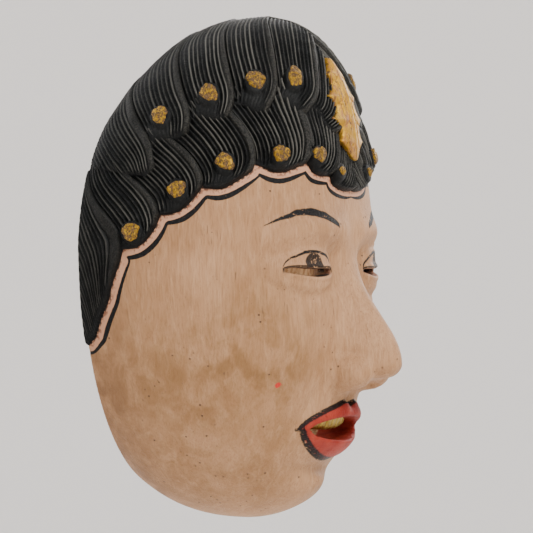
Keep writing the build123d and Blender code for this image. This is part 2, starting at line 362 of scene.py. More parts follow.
def build_locks(name, hand, tier, seed):
    """One tier of carved locks on one side, as a closed slab sunk into the wood."""
    lower = tier == "lower"
    row, bow = (LOWER_ROW, LOWER_BOW) if lower else (UPPER_ROW, UPPER_BOW)
    edges = LOWER_EDGES if lower else UPPER_EDGES
    spots = LOWER_SPOTS if lower else UPPER_SPOTS
    lines = 70 if lower else 92
    sigma, t, number = lock_columns(edges, row, 0.31 if lower else 0.36)
    foot = lower_foot(sigma, t, number) if lower else upper_foot(t, number)

    # find where each column meets the rim, the parting or the tier above
    trial = np.arange(0, 95, 0.5)[None] + foot[:, None]
    u, v, turn, radius = lock_chart(sigma[:, None], trial, row, bow)
    at = on_surface(u, v, 1.5)
    if lower:
        # over the brow the locks end level with the forelock
        free = (sigma > -22.0)[:, None] | ((at[..., 2] > 27.0) & (at[..., 0] > 0))
        first_free = np.argmax(free, axis=1)
        foot = np.where(free.any(axis=1), trial[np.arange(len(sigma)), first_free], foot)
    stop = (at[..., 1] < notch_limit(at[..., 0], at[..., 2])) | (at[..., 0] < 0)
    if lower:
        cover = np.interp(turn, *UPPER_ROW) + 1.0 + 60 * smooth(50, 58, turn)
        stop |= radius > cover
    stop &= trial >= foot[:, None] + 0.25
    stop[:, -1] = True
    head = trial[np.arange(len(sigma)), np.argmax(stop, axis=1)]
    head = np.maximum(head, foot + 0.6)
    keep = head - foot > 0.7
    sigma, t, number, foot, head = (a[keep] for a in (sigma, t, number, foot, head))

    run = np.linspace(0, 1, lines) ** 1.3
    p = foot[:, None] + (head - foot)[:, None] * run[None]
    s = np.broadcast_to(sigma[:, None], p.shape)
    t = np.broadcast_to(t[:, None], p.shape)
    k = np.broadcast_to(number[:, None], p.shape)
    u, v, turn, radius = lock_chart(s, p, row, bow)
    left = np.array(edges)[k]
    right = np.array(edges)[k + 1]
    width = np.radians(left - right) * np.interp((left + right) / 2, *row)

    # distance from the nearest curl end, and how far to its right and above
    spot_u, spot_v = np.array([spot_chart(q) for q in spots]).T
    du = u[..., None] - spot_u
    dv = v[..., None] - spot_v
    near = np.argmin(np.hypot(du, dv), axis=-1)[..., None]
    du = np.take_along_axis(du, near, -1)[..., 0]
    dv = np.take_along_axis(dv, near, -1)[..., 0]
    spot_gap = np.hypot(du, dv)

    chart = np.stack([u, v, 0 * u], -1)
    drift, grain, fine = (noise(chart, size, seed) for size in (14.0, 2.6, 1.1))

    band = BAND + 0.07 * smooth(8, 34, p)
    strands = np.maximum(2, np.round(BAND * width / PITCH))
    phase = t / band * strands + 0.55 * drift
    identity = np.floor(phase).astype(int) + 17 * k
    luck = np.random.default_rng(seed + 5).random(997)[identity % 997]
    ridge = (0.5 - 0.5 * np.cos(2 * np.pi * phase)) ** 1.7
    on_band = smooth(band - 0.01, band + 0.02, t)
    strand = ridge * (1 - on_band)

    knob = 1 - smooth(4.1, 5.3, spot_gap)
    under = smooth(0.0, -3.0, dv) * (1 - smooth(3.0, 6.0, np.abs(du + 1.0))) * (spot_gap < 16)
    calm = np.clip(1 - knob - 0.85 * under, 0, 1) * smooth(0.3, 1.8, p - foot[:, None])

    if lower:
        base = np.interp(p, (-14, 0, 8, 18, 30), (2.35, 2.45, 2.1, 1.25, 1.0))
        base = base + 0.9 * smooth(52, 62, turn) * smooth(4, 16, p)
    else:
        base = np.interp(p, (-14, 0, 12, 60), (2.5, 2.6, 2.35, 2.3))
    saw = (-0.85 + 1.35 * t**0.9) * (1 - 0.5 * smooth(10, 40, p))
    height = base + saw * (1 - knob)
    rim_calm = smooth(-1.0, 7.0, on_surface(u, v, np.ones(u.shape))[..., 1])
    if not lower:
        rim_calm = rim_calm * (1 - 0.6 * smooth(12, 30, p))
    height += (0.12 + 0.88 * rim_calm) * (1.0 + 0.25 * luck) * (strand - 0.5) * calm * (1 - on_band)
    belly = np.clip((t - band) / (1 - band), 0, 1)
    height += on_band * (0.28 * np.sin(np.pi * belly) ** 0.7 + 0.18 * grain)
    height += knob * (0.55 + 0.45 * (1 - (spot_gap / 5.4) ** 2)) * (spot_gap < 5.6)
    height -= 0.35 * bell(spot_gap - 5.1, 0.5) * (dv > -4)
    height -= 1.25 * bell(du + 8.6, 3.2) * bell(dv + 1.5, 5.0)
    height += 0.12 * grain + 0.05 * fine

    # rounded edges: the foot of every lock and the outer edge of its band
    rise = np.clip((p - foot[:, None]) / (1.8 if lower else 2.6), 0, 1)
    height = 0.35 + (height - 0.35) * np.sqrt(np.clip(1 - (1 - rise) ** 2, 0, 1))
    edge = np.clip((1 - t) * width / 0.9, 0, 1)
    height -= 0.5 * (1 - np.sqrt(1 - (1 - edge) ** 2)) * (1 - knob)
    if lower:
        height = np.maximum(height, 0.3)
    height = np.clip(height, 0.3, 3.55)

    front = on_surface(u, v, height)
    back = on_surface(u, v, np.full(u.shape, -0.7))
    limit = notch_limit(front[..., 0], front[..., 2])
    front[..., 1] = np.maximum(front[..., 1], limit)
    back[..., 1] = np.maximum(back[..., 1], limit + 0.35)
    front[..., 0] = np.maximum(front[..., 0], 0.02)
    back[..., 0] = np.maximum(back[..., 0], 0.05)
    front[..., 0] *= hand
    back[..., 0] *= hand
    points, faces = grid_solid(front, back)
    if hand > 0:
        faces = [f[::-1] for f in faces]
    zero = np.zeros(u.size)
    worn = strand * calm * (0.55 + 0.6 * luck)
    attributes = {"crest": worn, "band": on_band, "knob": knob}
    attributes = {key: np.concatenate([value.ravel(), zero]) for key, value in attributes.items()}
    # painted shade for the hair paint: how far the surface lies below 2.6 mm, and 2 on the hidden back
    attributes["low"] = np.concatenate([np.clip(2.6 - height, 0, 3).ravel(), zero + 2])
    obj = make_mesh(name, points, faces, attributes)
    hairline = np.stack([u[:, 0], v[:, 0], t[:, 0], k[:, 0]], -1)
    return obj, hairline


hair = {}
for hand, side_name in ((-1, "right"), (1, "left")):
    for tier in ("upper", "lower"):
        seed = 40 + hand + (5 if tier == "lower" else 0)
        obj, line = build_locks(f"hair_{tier}_{side_name}", hand, tier, seed)
        hair[tier, hand] = obj
        if tier == "lower" and hand == -1:
            hairline = line
        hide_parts("hair_crown")
        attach(obj, "mask")

# ---- face shell: carved forms as a distance field, meshed and settled on its surface ----
NOSE_TIP = 100.0  # depth of the tip, the mask's foremost point
NOSE_ROOT = 70.0  # depth where the nose is 30 wide and reaches 46 above its middle
EYE_X = 28.0  # middle of an eye
MOUTH_Z = -61.0  # line between the lips
MOUTH_HALF = 20.0  # half width of the opening, which is 2 x MOUTH_PART high
MOUTH_PART = 4.5
CUT_DEPTH = 30.0  # the eyes and the mouth are cut through only ahead of this depth


def lip_lines(x):
    """Upper and lower borders of the lips, and the top and bottom of the opening."""
    a = np.abs(x)
    full = np.sqrt(np.clip(1 - (a / 23.5) ** 2, 0, 1))
    upper = MOUTH_Z + 9.8 * full**1.3 + 0.9 * bell(a - 5.0, 3.0) - 0.9 * bell(a, 2.2)
    lower = MOUTH_Z - 11.8 * np.clip(1 - (a / 22.5) ** 2, 0, 1) ** 0.75
    part = MOUTH_PART * np.sqrt(np.clip(1 - (a / MOUTH_HALF) ** 2, 0, 1))
    return upper, lower, MOUTH_Z + part, MOUTH_Z - part


def eye_line(a):
    """Middle height of the slit across the eye."""
    return -2.0 - 0.9 * bell(a - 26.0, 9.0) + 0.45


def slit_gap(a, z, widen=0.0):
    """Distance outside the slit through the eye, let out by widen."""
    half = 1.35 * np.clip(1 - ((a - EYE_X) / 12.9) ** 2, 0, 1) ** 0.5
    along = np.abs(a - EYE_X) - 12.3
    return np.maximum(np.abs(z - eye_line(a)) - half - widen, along - widen)


def face_forms(x, z):
    """Height of the carved features over the plain dome, seen from the front."""
    a = np.abs(x)
    # brow ridge and the two hollows under it
    rise = 1.9 * bell(z - (13.5 - 0.006 * (a - 20) ** 2), 5.5) * smooth(0, 9, a) * (1 - smooth(38, 54, a))
    rise -= 2.3 * bell(a - 25, 17) * bell(z - 1, 9)
    rise -= 2.4 * bell(a - 12, 5.5) * bell(z, 9)
    # eyeball, its two lid creases and the swollen edge of the slit
    ball = np.clip(1 - ((a - EYE_X) / 18.5) ** 2 - ((z + 1.0) / 10.5) ** 2, 0, 1)
    rise += 3.0 * ball**0.8
    on_eye = smooth(18.5, 13.0, np.abs(a - EYE_X))
    rise -= 0.75 * bell(z - (7.6 - 0.020 * (a - EYE_X) ** 2), 1.0) * on_eye
    rise -= 0.45 * bell(z - (-10.2 + 0.016 * (a - EYE_X) ** 2), 1.3) * on_eye
    rise += 0.55 * bell(slit_gap(a, z) - 0.9, 1.0)
    # cheekbone, temple and the fold beside the mouth
    rise += 1.9 * bell(a - 37, 15) * bell(z + 29, 17)
    rise -= 0.9 * bell(a - 51, 9) * bell(z - 4, 14)
    fold = a - (17.5 + 0.42 * (-42 - z))
    rise -= 0.9 * bell(fold, 3.2) * bell(z + 52, 9)
    # muzzle, chin, the dip between them and the groove over the upper lip
    rise += 2.4 * bell(x, 21) * bell(z + 57, 15)
    rise += 3.2 * bell(x, 14) * bell(z + 85, 8)
    rise -= 1.8 * bell(x, 15) * bell(z + 75.8, 3.4)
    rise -= 0.8 * bell(x, 2.3) * bell(z + 50.5, 3.6)
    rise += 0.35 * bell(a - 4.3, 1.6) * bell(z + 50.5, 3.6)
    upper, lower, open_top, open_low = lip_lines(x)
    wide = np.clip(1 - (a / 23.5) ** 2, 0, 1) ** 0.5
    s_up = np.clip((z - open_top) / np.maximum(upper - open_top, 0.5), 0, 1.0)
    s_low = np.clip((open_low - z) / np.maximum(open_low - lower, 0.5), 0, 1.0)
    top_lip = np.where(z > MOUTH_Z, np.sqrt(1 - s_up**2.2), 0)
    low_lip = np.where(z <= MOUTH_Z, np.sqrt(1 - s_low**2.0), 0)
    edge = smooth(0.0, 0.22, wide)
    rise += (2.9 * top_lip + 3.6 * low_lip) * wide**0.8 * edge
    return rise


def nose_field(x, depth, z):
    """Distance outside the nose: a body narrowing to the tip, two wings, two nostrils."""
    u = np.clip((depth - NOSE_ROOT) / (NOSE_TIP - NOSE_ROOT), -0.4, 1.0)
    half = 15 - 10 * u
    centre = -34 - 3 * u
    reach = np.where(z > centre, 46 - 40 * u, 12 - 8 * u)
    q = np.sqrt((x / half) ** 2 + ((z - centre) / reach) ** 2) + 1e-6
    slope = np.sqrt((x / half**2) ** 2 + ((z - centre) / reach**2) ** 2) + 1e-4
    body = q * (q - 1) / slope * 0.8
    body = carve(body, depth - NOSE_TIP, 6.0)
    a = np.abs(x)
    wing = np.sqrt(((a - 8.8) / 5.9) ** 2 + ((depth - 83.5) / 7.6) ** 2 + ((z + 40.3) / 6.3) ** 2)
    body = melt(body, (wing - 1) * 6.2, 3.2)
    crease = np.sqrt((depth - 81.5) ** 2 * 0.5 + ((z + 39) / 0.9) ** 2)
    body = body + 0.45 * bell(crease - 7.9, 0.9) * smooth(7, 10, a) * (depth > 74)
    hole = np.sqrt(((a - 5.6) / 2.5) ** 2 + ((depth - 86) / 3.8) ** 2 + ((z + 46.2) / 2.7) ** 2)
    return carve(body, -(hole - 1) * 2.6, 0.8)


gouge_rng = np.random.default_rng(12)
GOUGES = gouge_rng.random((64, 64, 3))


def gouge(x, depth, z):
    """Depth of the overlapping scoops left by a gouge inside the hollow."""
    turn = np.arctan2(z + 4, x)
    around = turn * 9.0
    deep = np.hypot(np.hypot(x, z + 4) - 60, depth) / 15.0 + 0.35 * np.sin(turn * 3)
    ci, cj = np.floor(around).astype(int), np.floor(deep).astype(int)
    best = np.full(np.shape(x), 9.0)
    for i in (-1, 0, 1):
        for j in (-1, 0, 1):
            seed = GOUGES[(ci + i) % 57, (cj + j) % 64]
            da = around - (ci + i + 0.15 + 0.7 * seed[..., 0])
            dd = deep - (cj + j + 0.1 + 0.8 * seed[..., 1])
            best = np.minimum(best, (da * 1.0) ** 2 + (dd * 0.8) ** 2 - 0.12 * seed[..., 2])
    return 1.5 * np.clip(0.55 - best, -0.4, 0.6)


def face_field(x, depth, z, dome, hollow):
    """Signed distance of the shell."""
    ahead = smooth(16, 44, depth)
    body = dome - face_forms(x, z) * ahead
    body = melt(body, nose_field(x, depth, z), 7.0)
    scooped = hollow - gouge(x, depth, z)
    body = carve(body, -scooped, 1.4)
    body = carve(body, -depth, 1.1)
    a = np.abs(x)
    skin = np.clip(-dome - 2.0, 0, 14)
    slit = slit_gap(a, z, 0.28 * skin)
    slit = np.maximum(slit, CUT_DEPTH - depth)
    body = carve(body, -slit, 0.7)
    mouth = np.sqrt((x / MOUTH_HALF) ** 2 + ((z - MOUTH_Z) / MOUTH_PART) ** 2) + 1e-6
    slope = np.sqrt((x / MOUTH_HALF**2) ** 2 + ((z - MOUTH_Z) / MOUTH_PART**2) ** 2) + 1e-3
    mouth = np.maximum((mouth - 1) * mouth / slope, CUT_DEPTH - depth)
    body = carve(body, -mouth, 1.0)
    notch = np.maximum(np.maximum(a - 9.0, depth - 3.6), 50 - z)
    return carve(body, -notch, 0.4)


def spaced(low, high, dense):
    """Positions from low to high, closer together inside the dense stretches."""
    out = [low]
    while out[-1] < high:
        here = out[-1]
        step = 1.22
        for start, end, fine_step in dense:
            if start <= here <= end:
                step = fine_step
        out.append(here + step)
    return np.array(out)


xs = spaced(-70.5, 71.5, ())
ds = spaced(-2.5, 121.5, ())
zs = spaced(-98.5, 95.5, ((-75.5, -47.5, 0.85), (-9.5, 4.5, 0.75)))

coarse = 3.0
cx = np.arange(-72, 75 + coarse, coarse)
cd = np.arange(-3, 123 + coarse, coarse)
cz = np.arange(-102, 99 + coarse, coarse)


def resampled(values):
    """Values on the coarse grid, linearly carried over to the fine one."""
    for axis, (old, new) in enumerate(((cx, xs), (cd, ds), (cz, zs))):
        place = np.clip((new - old[0]) / coarse, 0, len(old) - 1.001)
        i = place.astype(int)
        f = (place - i).reshape([-1 if n == axis else 1 for n in range(3)])
        values = np.take(values, i, axis) * (1 - f) + np.take(values, i + 1, axis) * f
    return values


grid = np.meshgrid(cx, cd, cz, indexing="ij")
dome_fine = resampled(level(FACE, *grid, steps=16))
hollow_fine = resampled(level(HOLLOW, *grid, steps=16))
X, D, Z = np.meshgrid(xs, ds, zs, indexing="ij")
field = face_field(X, D, Z, dome_fine, hollow_fine).astype(np.float32)
volume = openvdb.FloatGrid(5.0)
volume.copyFromArray(np.ascontiguousarray(np.clip(field, -5, 5)))
index_points, triangles, quads = volume.convertToPolygons(isovalue=0.0, adaptivity=0.0)
points = np.stack(
    [np.interp(index_points[:, n], np.arange(len(axis)), axis) for n, axis in enumerate((xs, ds, zs))], 1
)


def exact_field(at):
    x, depth, z = at.T
    dome = level(FACE, x, depth, z)
    hollow = level(HOLLOW, x, depth, z)
    return face_field(x, depth, z, dome, hollow)


for _ in range(2):
    value = exact_field(points)
    slope = np.stack([(exact_field(points + step) - value) / 0.05 for step in np.eye(3) * 0.05], 1)
    size = np.maximum((slope**2).sum(1), 0.2)
    points = points - np.clip(value / size, -0.8, 0.8)[:, None] * slope
points[:, 1] = np.maximum(points[:, 1], 0.0)

x, depth, z = points.T
dome = level(FACE, x, depth, z)
hollow = level(HOLLOW, x, depth, z)
inner = smooth(4.2, 1.6, np.abs(hollow)) * smooth(-3.2, -5.0, dome - face_forms(x, z) * smooth(16, 44, depth))
inner = np.maximum(inner, smooth(0.9, 0.2, depth))
upper, lower, open_top, open_low = lip_lines(x)
lips = np.minimum(upper - z, z - lower)
lips = np.minimum(lips, (23.8 - np.abs(x)) * 0.9)
lips = np.where((depth > 40) & (nose_field(x, depth, z) > 3), np.clip(lips, -9, 9), -9)

# distance from the hairline over the face, and the painted contour that follows it
line_u, line_v, line_t, line_k = hairline.T
near_hair = (dome > -2.5) & (z > -60)
fu, fv = point_to_chart(np.stack([np.abs(x), depth, z], 1)[near_hair])
gap = np.full(len(fu), 99.0)
which = np.zeros(len(fu), int)
for start in range(0, len(fu), 4000):
    part = slice(start, start + 4000)
    square = (fu[part, None] - line_u) ** 2 + (fv[part, None] - line_v) ** 2
    which[part] = np.argmin(square, 1)
    gap[part] = np.sqrt(square[np.arange(square.shape[0]), which[part]])
hair_gap = np.full(len(points), 99.0)
hair_gap[near_hair] = gap
place = line_t[which]
lock = line_k[which]
swept = np.sin(np.pi * np.clip(place, 0, 1)) ** 0.8
stroke = np.where(lock == 0, 0.55 + 0.45 * swept, 0.45 + 0.75 * swept)
half_stroke = np.full(len(points), 0.5)
half_stroke[near_hair] = stroke

face = make_mesh(
    "face_carving",
    points,
    [*quads, *triangles],
    {
        "inner": inner,
        "lips": lips,
        "hair_gap": np.clip(hair_gap, 0, 20),
        "stroke": half_stroke,
        "slit": np.clip(slit_gap(np.abs(x), z), -9, 9),
    },
)
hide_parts("face_shell")
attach(face, "mask")

# ---- gilded curl ends: rough lumps of gilding on every curl ----
def lump(spot, hand, seed, size):
    """Points and faces of one lump, closed, lying on the hair."""
    rng = np.random.default_rng(seed)
    rings, turns = 11, 40
    angle = np.linspace(0, 2 * np.pi, turns, endpoint=False)
    shifts = rng.random(4) * 6.3
    outline = 1 + 0.10 * np.cos(2 * angle + shifts[0]) + 0.07 * np.cos(3 * angle + shifts[1])
    outline += 0.05 * np.cos(5 * angle + shifts[2]) + 0.035 * np.cos(9 * angle + shifts[3])
    part = np.linspace(0, 1, rings + 1)[1:]
    u0, v0 = spot_chart(spot)
    r = part[:, None] * outline[None] * size
    u = u0 + r * np.cos(angle)
    v = v0 + r * np.sin(angle) * 0.94
    chart = np.stack([u, v, 0 * u + seed], -1)
    rough = noise(chart, 1.15, seed)
    broad = noise(chart, 2.4, seed + 1)
    height = 3.35 + 0.78 * np.sqrt(np.clip(1 - part[:, None] ** 3.2, 0, 1))
    height = height + (0.55 * rough + 0.5 * broad) * (1 - part[:, None] ** 4)
    height[-1] = 3.0
    top = on_surface(u, v, height)
    base = on_surface(u[-1], v[-1], np.full(turns, 1.2))
    peak = on_surface(np.array([u0]), np.array([v0]), np.array([3.9 + 0.3 * rough[0, 0]]))
    floor = on_surface(np.array([u0]), np.array([v0]), np.array([1.2]))
    points = np.concatenate([peak, top.reshape(-1, 3), base, floor])
    points[:, 0] = np.maximum(points[:, 0], 0.05) * hand
    faces = [f[::-1] for f in fan(1, turns, 0)] + fan(1 + rings * turns, turns, len(points) - 1)
    faces += [(a, d, c, b) for a, b, c, d in ring_quads(rings + 1, turns, 1)]
    if hand < 0:
        faces = [f[::-1] for f in faces]
    return points, faces


lump_points, lump_faces, counted = [], [], 0
for hand in (-1, 1):
    for n, spot in enumerate((*LOWER_SPOTS, *UPPER_SPOTS)):
        size = 2.3 if n == 5 else 3.75
        some_points, some_faces = lump(spot, hand, 200 + 20 * hand + n, size)
        lump_points.append(some_points)
        lump_faces += [tuple(i + counted for i in f) for f in some_faces]
        counted += len(some_points)
gilding = make_mesh("curl_gilding", np.concatenate(lump_points), lump_faces)
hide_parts("curl_bosses")
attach(gilding, "mask")

# ---- forehead ornament: gilded leaf with lobed edges, carved veins and drying cracks ----
LEAF_FOOT, LEAF_TOP = 39.5, 78.5
# place across in mm, the two ends as shares of the height, and the depth of each crack
LEAF_CRACKS = (
    (-3.1, 0.30, 0.86, 0.8),
    (1.7, 0.12, 0.62, 0.7),
    (-5.6, 0.42, 0.7, 0.5),
    (4.6, 0.5, 0.9, 0.5),
)
across, up = np.meshgrid(np.linspace(-1, 1, 81), np.linspace(0, 1, 121), indexing="ij")
leaf_z = LEAF_FOOT + (LEAF_TOP - LEAF_FOOT) * up
wide = 10.9 * np.sin(np.pi * np.clip(up, 0, 1) ** 0.86) ** 0.72 * (1 - 0.14 * up)
lobe_phase = np.pi * (up * 4.6 + 0.15)
bites = np.clip(np.sin(lobe_phase), 0, 1) ** 0.7 + np.clip(-np.sin(lobe_phase), 0, 1) ** 0.7
wide = wide * (1.22 - 0.46 * bites) + 0.15
leaf_x = across * wide
leaf_places = np.stack([leaf_x, leaf_z, 0 * leaf_x], -1)
leaf_rough = noise(leaf_places, 1.6, 71)
leaf_drift = noise(leaf_places, 9.0, 72)
body = np.clip(1 - np.abs(across) ** 2.6, 0, 1) ** 0.55 * np.clip(np.sin(np.pi * up), 0, 1) ** 0.3
leaf_height = 2.7 + 1.75 * body + 0.22 * leaf_rough * body
veins = np.abs(np.sin(lobe_phase + 1.3 * np.abs(across)))
leaf_height -= 0.45 * (1 - smooth(0.0, 0.28, veins)) * smooth(0.12, 0.4, np.abs(across)) * body
leaf_height += 0.35 * bell(across * wide, 1.1) * body
for crack_x, low_end, high_end, deep in LEAF_CRACKS:
    run = smooth(low_end, low_end + 0.06, up) * (1 - smooth(high_end - 0.06, high_end, up))
    leaf_height -= deep * bell(leaf_x - crack_x - 1.6 * leaf_drift, 0.30) * run * body
leaf_front = np.stack([leaf_x, front_depth(leaf_x, leaf_z, leaf_height), leaf_z], -1)
leaf_back = np.stack([leaf_x, front_depth(leaf_x, leaf_z, np.full(leaf_x.shape, 0.8)), leaf_z], -1)
points, faces = grid_solid(leaf_front, leaf_back)
leaf = make_mesh("forehead_leaf", points, [f[::-1] for f in faces])
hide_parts("forehead_ornament")
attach(leaf, "mask")

# ---- upper teeth: separate rounded blocks along the curve of the mouth ----
tooth_points, tooth_faces, counted = [], [], 0
tooth_rng = np.random.default_rng(31)
TEETH, TOOTH_PITCH, TOOTH_HALF, TOOTH_TOP = 8, 4.35, 2.12, -55.6
for n in range(TEETH):
    from_middle = n - (TEETH - 1) / 2
    q, w = np.meshgrid(np.linspace(-1, 1, 15), np.linspace(-1, 1, 15), indexing="ij")
    low_edge = -61.9 + 0.35 * abs(from_middle) + 0.25 * tooth_rng.random()
    tz = (TOOTH_TOP + low_edge) / 2 + w * (TOOTH_TOP - low_edge) / 2 * (1 - 0.06 * q**2)
    tx = from_middle * TOOTH_PITCH + q * TOOTH_HALF * (1 - 0.10 * np.clip(-w, 0, 1) ** 2)
    cutting_edge = np.sqrt(np.clip(1 - 0.75 * np.clip(-w, 0, 1) ** 4, 0, 1))
    bulge = np.sqrt(np.clip(1 - 0.9 * np.abs(q) ** 3.4, 0, 1)) * cutting_edge
    front = np.stack([tx, front_depth(tx, tz, -3.0 + 1.7 * bulge), tz], -1)
    back = np.stack([tx, front_depth(tx, tz, np.full(tx.shape, -7.6)), tz], -1)
    points, faces = grid_solid(front, back)
    tooth_points.append(points)
    tooth_faces += [tuple(i + counted for i in f[::-1]) for f in faces]
    counted += len(points)
teeth = make_mesh("tooth_row", np.concatenate(tooth_points), tooth_faces)
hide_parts("upper_teeth")
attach(teeth, "mask")

# ---- bite strap: one leather band with rounded edges and a groove along each ----
ROOT, BOW, HALF_SPAN, STRAP_LEVEL = 36.0, 20.0, 38.0, -58.0
HALF_THICK = 1.1
turns = np.linspace(0, np.pi, 121)
side_x = np.full(14, HALF_SPAN - HALF_THICK)
line_x = np.concatenate([side_x, (HALF_SPAN - HALF_THICK) * np.cos(turns), -side_x])
tail = np.linspace(7.8, 0.5, 14)
line_d = np.concatenate([ROOT + tail, ROOT - (BOW - HALF_THICK) * np.sin(turns), ROOT + tail[::-1]])
path = np.stack([line_x, line_d], -1)
along = np.gradient(path, axis=0)
along /= np.linalg.norm(along, axis=1, keepdims=True)
outward = np.stack([along[:, 1], -along[:, 0]], -1)
length = np.concatenate([[0], np.cumsum(np.linalg.norm(np.diff(path, axis=0), axis=1))])
section = np.linspace(0, 2 * np.pi, 48, endpoint=False)
sx = np.sign(np.cos(section)) * np.abs(np.cos(section)) ** 0.35
sy = np.sign(np.sin(section)) * np.abs(np.sin(section)) ** 0.55
leather_places = np.stack(np.broadcast_arrays(length[:, None], 6 * sx, 9 * sy), -1)
leather_wave = noise(leather_places, 7.0, 81)
leather_nap = noise(leather_places, 1.5, 82)
half_height = 5.9 + 0.22 * noise(np.stack([length, 0 * length, 0 * length], -1), 9.0, 83)
thick = 1.02 * sy[None] * (1 - 0.10 * np.abs(sx[None]) ** 6) + 0.05 * leather_wave + 0.03 * leather_nap
groove = 0.22 * bell(np.abs(sx[None]) - 0.80, 0.035) * np.sign(sy[None])
thick = np.clip(thick - groove, -1.08, 1.08)
strap = np.stack(
    [
        path[:, None, 0] + outward[:, None, 0] * thick,
        path[:, None, 1] + outward[:, None, 1] * thick,
        STRAP_LEVEL + half_height[:, None] * sx[None] + 0.05 * leather_wave,
    ],
    -1,
)
stations, ring = strap.shape[:2]
faces = ring_quads(stations, ring)
points = strap.reshape(-1, 3)
for end, order in ((0, 1), (stations - 1, -1)):
    faces += [f[::order] for f in fan(end * ring, ring, len(points))]
    points = np.concatenate([points, strap[end].mean(0, keepdims=True)])
strap_band = make_mesh("bite_band", points, faces)
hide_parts("bite_strap")
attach(strap_band, "mask")


# ---- materials ----
CONTOUR_GAP = 3.6  # from the hairline to the middle of the painted contour


class Paint:
    """A material and short ways to add its nodes; coordinates are in millimetres."""

    def __init__(self, name):
        self.material = bpy.data.materials.new(name)
        self.material.use_nodes = True
        self.tree = self.material.node_tree
        self.shader = self.tree.nodes["Principled BSDF"]
        place = self.node("TexCoord").outputs["Object"]
        scaled = self.node("VectorMath")
        scaled.operation = "SCALE"
        self.tree.links.new(place, scaled.inputs[0])
        scaled.inputs["Scale"].default_value = 1000.0
        self.place = scaled.outputs["Vector"]
        split = self.node("SeparateXYZ")
        self.tree.links.new(self.place, split.inputs[0])
        self.x, self.y, self.z = split.outputs
        self.a = self.math("ABSOLUTE", self.x)
        self.depth = self.math("MULTIPLY", self.y, -1.0)

    def node(self, kind):
        return self.tree.nodes.new("ShaderNode" + kind)

    def feed(self, socket, value):
        if isinstance(value, bpy.types.NodeSocket):
            self.tree.links.new(value, socket)
        elif isinstance(value, tuple):
            lacks_alpha = len(value) == 3 and len(socket.default_value) == 4
            socket.default_value = (*value, 1.0) if lacks_alpha else value
        else:
            socket.default_value = value

    def math(self, kind, first, second=None, third=None, clamp=False):
        node = self.node("Math")
        node.operation = kind
        node.use_clamp = clamp
        for socket, value in zip(node.inputs, (first, second, third)):
            if value is not None:
                self.feed(socket, value)
        return node.outputs[0]

    def add(self, first, second):
        return self.math("ADD", first, second)

    def sub(self, first, second):
        return self.math("SUBTRACT", first, second)

    def mul(self, first, second):
        return self.math("MULTIPLY", first, second)

    def swing(self, wave, amount):
        """Noise turned about zero and scaled."""
        return self.mul(self.sub(wave, 0.5), amount)

    def apart(self, first, second):
        return self.math("ABSOLUTE", self.sub(first, second))

    def most(self, first, *others):
        for other in others:
            first = self.math("MAXIMUM", first, other)
        return first

    def ease(self, value, low, high, out_low=0.0, out_high=1.0):
        node = self.node("MapRange")
        node.interpolation_type = "SMOOTHSTEP"
        for socket, part in zip(node.inputs, (value, low, high, out_low, out_high)):
            self.feed(socket, part)
        return node.outputs[0]

    def gap(self, *centre, scale=(1, 1, 1)):
        """Distance from a point in (|x|, depth, z), each axis scaled."""
        total = None
        for axis, at, by in zip((self.a, self.depth, self.z), centre, scale):
            if by == 0:
                continue
            part = self.math("POWER", self.math("ABSOLUTE", self.mul(self.sub(axis, at), by)), 2.0)
            total = part if total is None else self.add(total, part)
        return self.math("SQRT", total)

    def mapped(self, cell, shift=0.0):
        """Texture coordinates with one unit to each cell."""
        mapping = self.node("Mapping")
        self.tree.links.new(self.place, mapping.inputs["Vector"])
        mapping.inputs["Scale"].default_value = [1.0 / c for c in cell]
        mapping.inputs["Location"].default_value = (shift, shift * 0.7, -shift)
        return mapping.outputs[0]

    def noise(self, cell, detail=3.0, rough=0.55, warp=0.0, shift=0.0):
        node = self.node("TexNoise")
        self.tree.links.new(self.mapped(cell, shift), node.inputs["Vector"])
        node.inputs["Scale"].default_value = 1.0
        node.inputs["Detail"].default_value = detail
        node.inputs["Roughness"].default_value = rough
        node.inputs["Distortion"].default_value = warp
        return node.outputs[0]

    def cells(self, size):
        """Distance from the middle of the nearest of many scattered cells."""
        node = self.node("TexVoronoi")
        self.tree.links.new(self.mapped([size] * 3), node.inputs["Vector"])
        node.inputs["Scale"].default_value = 1.0
        return node.outputs["Distance"]

    def attribute(self, name):
        node = self.node("Attribute")
        node.attribute_name = name
        return node.outputs["Fac"]

    def mix(self, amount, first, second):
        node = self.node("Mix")
        node.data_type = "RGBA"
        self.feed(node.inputs[0], amount)
        self.feed(node.inputs[6], first)
        self.feed(node.inputs[7], second)
        return node.outputs[2]

    def curve(self, value, low, high, points):
        """A smooth curve through (place, value) points, over low..high."""
        values = [p[1] for p in points]
        bottom, top = min(values), max(values)
        size = (top - bottom) or 1.0
        node = self.node("FloatCurve")
        self.feed(node.inputs["Value"], self.math("DIVIDE", self.sub(value, low), high - low, clamp=True))
        line = node.mapping.curves[0]
        spots = [((p - low) / (high - low), (v - bottom) / size) for p, v in points]
        line.points[0].location = spots[0]
        line.points[1].location = spots[-1]
        for spot in spots[1:-1]:
            line.points.new(*spot)
        node.mapping.update()
        return self.add(self.mul(node.outputs[0], size), bottom)

    def stroke(self, along, across, low, high, centre, width, wobble, soft=0.22):
        """A brush stroke along one axis: 1 where it is painted."""
        middle = self.curve(along, low, high, centre)
        half = self.curve(along, low, high, width)
        off = self.apart(self.add(across, wobble), middle)
        inside = self.mul(self.ease(along, low, low + 0.3), self.ease(along, high - 0.3, high, 1.0, 0.0))
        return self.mul(self.ease(self.sub(half, off), -soft, soft), inside)

    def lay(self, paint, amount, strength=None):
        """Lay a paint over the colour so far."""
        if strength is not None:
            amount = self.mul(amount, strength)
        self.colour = self.mix(amount, self.colour, paint)

